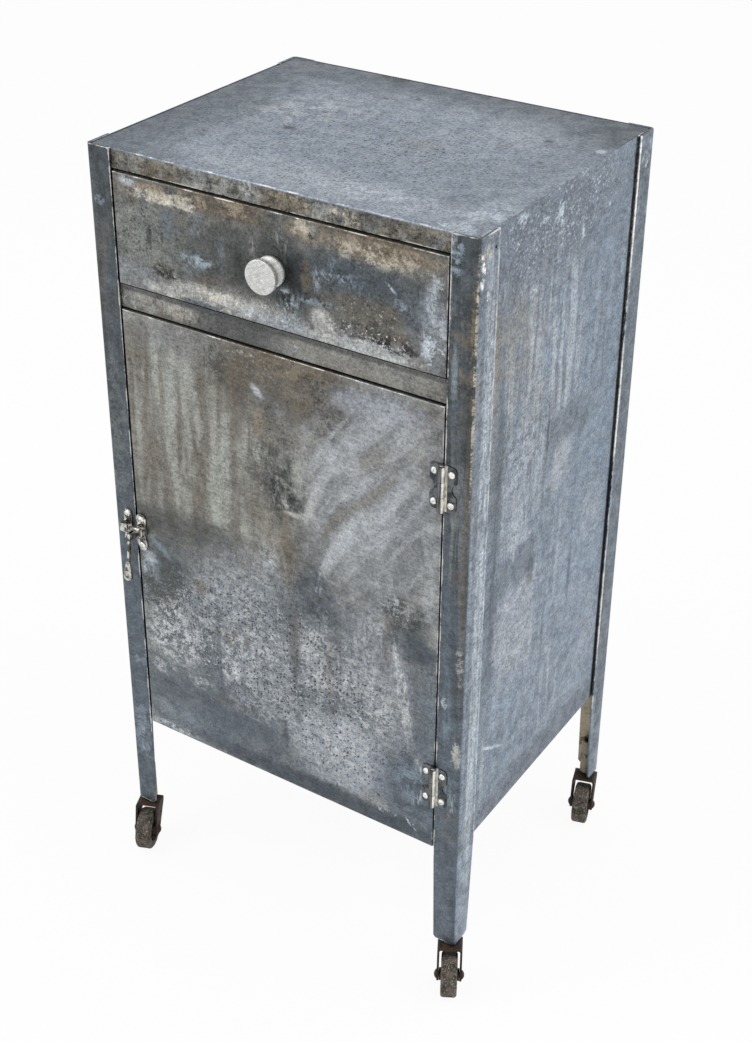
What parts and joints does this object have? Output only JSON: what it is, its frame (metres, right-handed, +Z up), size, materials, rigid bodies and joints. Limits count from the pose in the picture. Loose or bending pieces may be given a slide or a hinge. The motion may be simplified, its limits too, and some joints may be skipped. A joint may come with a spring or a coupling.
{
  "type": "medical supply cabinet",
  "caption": "Worn steel supply cabinet on swivel casters, with a drawer over a hinged door, a lever latch and angle posts that run on as legs.",
  "frame": {"origin": "on the floor, under the middle of the cabinet", "axes": "+Z up, -Y out of the front (drawer and door), +X to the right seen from the front"},
  "size_m": [0.4795, 0.3971, 0.9144],
  "materials": {
    "worn_steel": "dark brushed steel with bright worn edges",
    "drawer_front_steel": "dark brushed steel with pale worn patches and brown tints",
    "door_steel": "brushed steel with streaks, mottling and pitting",
    "top_steel": "blue-grey pitted steel",
    "side_steel": "blue-grey steel with upright streaks",
    "inner_steel": "dull brushed steel",
    "nickel": "worn nickel plate",
    "knob_aluminium": "sanded aluminium",
    "rusty_steel": "dark rusty steel",
    "wheel_rubber": "worn grey-brown tread"
  },
  "bodies": {
    "cabinet": {"post_front_left": "worn_steel", "post_front_right": "worn_steel", "post_rear_left": "worn_steel", "post_rear_right": "worn_steel", "top_panel": "top_steel", "side_panel_left": "side_steel", "side_panel_right": "side_steel", "back_panel": "side_steel", "cabinet_floor": "inner_steel", "middle_rail": "worn_steel", "drawer_runner_left": "inner_steel", "drawer_runner_right": "inner_steel", "shelf": "inner_steel", "shelf_bracket_left": "inner_steel", "shelf_bracket_right": "inner_steel", "hinge_leaf_post_upper": "nickel", "hinge_leaf_post_lower": "nickel", "hinge_pins": "nickel", "hinge_post_screws": "nickel", "latch_strike": "nickel", "strike_screws": "nickel", "caster_socket_front_left": "rusty_steel", "caster_socket_front_right": "rusty_steel", "caster_socket_rear_left": "rusty_steel", "caster_socket_rear_right": "rusty_steel"},
    "drawer": {"drawer_front": "drawer_front_steel", "drawer_tray": "inner_steel", "drawer_ends": "inner_steel", "drawer_knob": "knob_aluminium", "knob_screw": "nickel"},
    "door": {"door_skin": "door_steel", "door_liner": "inner_steel", "hinge_leaf_door_upper": "nickel", "hinge_leaf_door_lower": "nickel", "hinge_door_screws": "nickel", "latch_base": "nickel", "latch_screws": "nickel", "latch_pivot_pin": "nickel"},
    "latch_lever": {"latch_lever": "nickel"},
    "latch_bolt": {"latch_bolt": "nickel"},
    "caster_front_left": {"caster_fork_front_left": "rusty_steel", "caster_stem_front_left": "rusty_steel", "caster_axle_front_left": "rusty_steel"},
    "wheel_front_left": {"wheel_tread_front_left": "wheel_rubber", "wheel_hub_front_left": "rusty_steel"},
    "caster_front_right": {"caster_fork_front_right": "rusty_steel", "caster_stem_front_right": "rusty_steel", "caster_axle_front_right": "rusty_steel"},
    "wheel_front_right": {"wheel_tread_front_right": "wheel_rubber", "wheel_hub_front_right": "rusty_steel"},
    "caster_rear_left": {"caster_fork_rear_left": "rusty_steel", "caster_stem_rear_left": "rusty_steel", "caster_axle_rear_left": "rusty_steel"},
    "wheel_rear_left": {"wheel_tread_rear_left": "wheel_rubber", "wheel_hub_rear_left": "rusty_steel"},
    "caster_rear_right": {"caster_fork_rear_right": "rusty_steel", "caster_stem_rear_right": "rusty_steel", "caster_axle_rear_right": "rusty_steel"},
    "wheel_rear_right": {"wheel_tread_rear_right": "wheel_rubber", "wheel_hub_rear_right": "rusty_steel"}
  },
  "joints": [
    {"name": "drawer_slide", "type": "slide", "parent": "cabinet", "child": "drawer", "axis": [0, -1, 0], "range_m": [0, 0.27]},
    {"name": "door_hinge", "type": "hinge", "parent": "cabinet", "child": "door", "pos_m": [0.1972, -0.1853, 0.46695], "axis": [0, 0, 1], "range_deg": [0, 170]},
    {"name": "latch_lever_swing", "type": "hinge", "parent": "door", "child": "latch_lever", "pos_m": [-0.1915, -0.201, 0.4704], "axis": [-1, 0, 0], "range_deg": [-15, 30]},
    {"name": "latch_bolt_slide", "type": "slide", "parent": "door", "child": "latch_bolt", "axis": [1, 0, 0], "range_m": [-0.004, 0.008]},
    {"name": "caster_front_left_swivel", "type": "hinge", "parent": "cabinet", "child": "caster_front_left", "pos_m": [-0.2175, -0.1699, 0.0634], "axis": [0, 0, 1], "continuous": true},
    {"name": "wheel_front_left_spin", "type": "hinge", "parent": "caster_front_left", "child": "wheel_front_left", "pos_m": [-0.20982, -0.18891, 0.0254], "axis": [0.9272, 0.3746, 0], "continuous": true},
    {"name": "caster_front_right_swivel", "type": "hinge", "parent": "cabinet", "child": "caster_front_right", "pos_m": [0.2175, -0.1699, 0.0634], "axis": [0, 0, 1], "continuous": true},
    {"name": "wheel_front_right_spin", "type": "hinge", "parent": "caster_front_right", "child": "wheel_front_right", "pos_m": [0.22744, -0.18783, 0.0254], "axis": [0.8746, 0.4848, 0], "continuous": true},
    {"name": "caster_rear_left_swivel", "type": "hinge", "parent": "cabinet", "child": "caster_rear_left", "pos_m": [-0.2175, 0.1699, 0.0634], "axis": [0, 0, 1], "continuous": true},
    {"name": "wheel_rear_left_spin", "type": "hinge", "parent": "caster_rear_left", "child": "wheel_rear_left", "pos_m": [-0.20884, 0.15132, 0.0254], "axis": [0.9063, 0.4226, 0], "continuous": true},
    {"name": "caster_rear_right_swivel", "type": "hinge", "parent": "cabinet", "child": "caster_rear_right", "pos_m": [0.2175, 0.1699, 0.0634], "axis": [0, 0, 1], "continuous": true},
    {"name": "wheel_rear_right_spin", "type": "hinge", "parent": "caster_rear_right", "child": "wheel_rear_right", "pos_m": [0.22349, 0.1503, 0.0254], "axis": [0.9563, 0.2924, 0], "continuous": true}
  ],
  "couplings": [
    {"joint": "latch_bolt_slide", "follows": "latch_lever_swing", "m_per_rad": 0.015}
  ]
}
